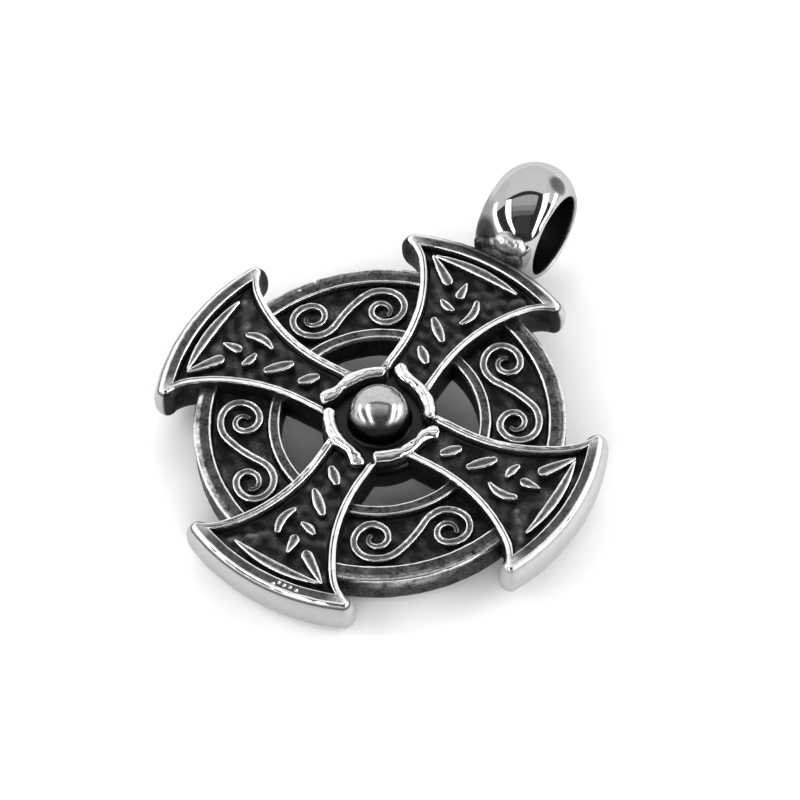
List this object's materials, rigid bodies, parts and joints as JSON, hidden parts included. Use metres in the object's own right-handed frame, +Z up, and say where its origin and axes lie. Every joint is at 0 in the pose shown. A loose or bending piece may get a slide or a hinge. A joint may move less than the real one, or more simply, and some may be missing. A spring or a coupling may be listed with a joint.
{
  "type": "celtic cross pendant",
  "caption": "Ringed cross pendant with flared arms, raised scroll and seed relief, a domed boss and a fixed ring bail for a chain.",
  "frame": {"origin": "centre of the base of the whole pendant's box, on the surface that it lies on", "axes": "+Z up, the pendant face up on its back; +Y towards the bail, +X along the arm on its right"},
  "size_m": [0.036, 0.0454, 0.0103],
  "materials": {
    "pendant": "cast, blackened and polished on the high parts"
  },
  "bodies": {
    "root": {"pendant": "pendant"}
  },
  "joints": []
}
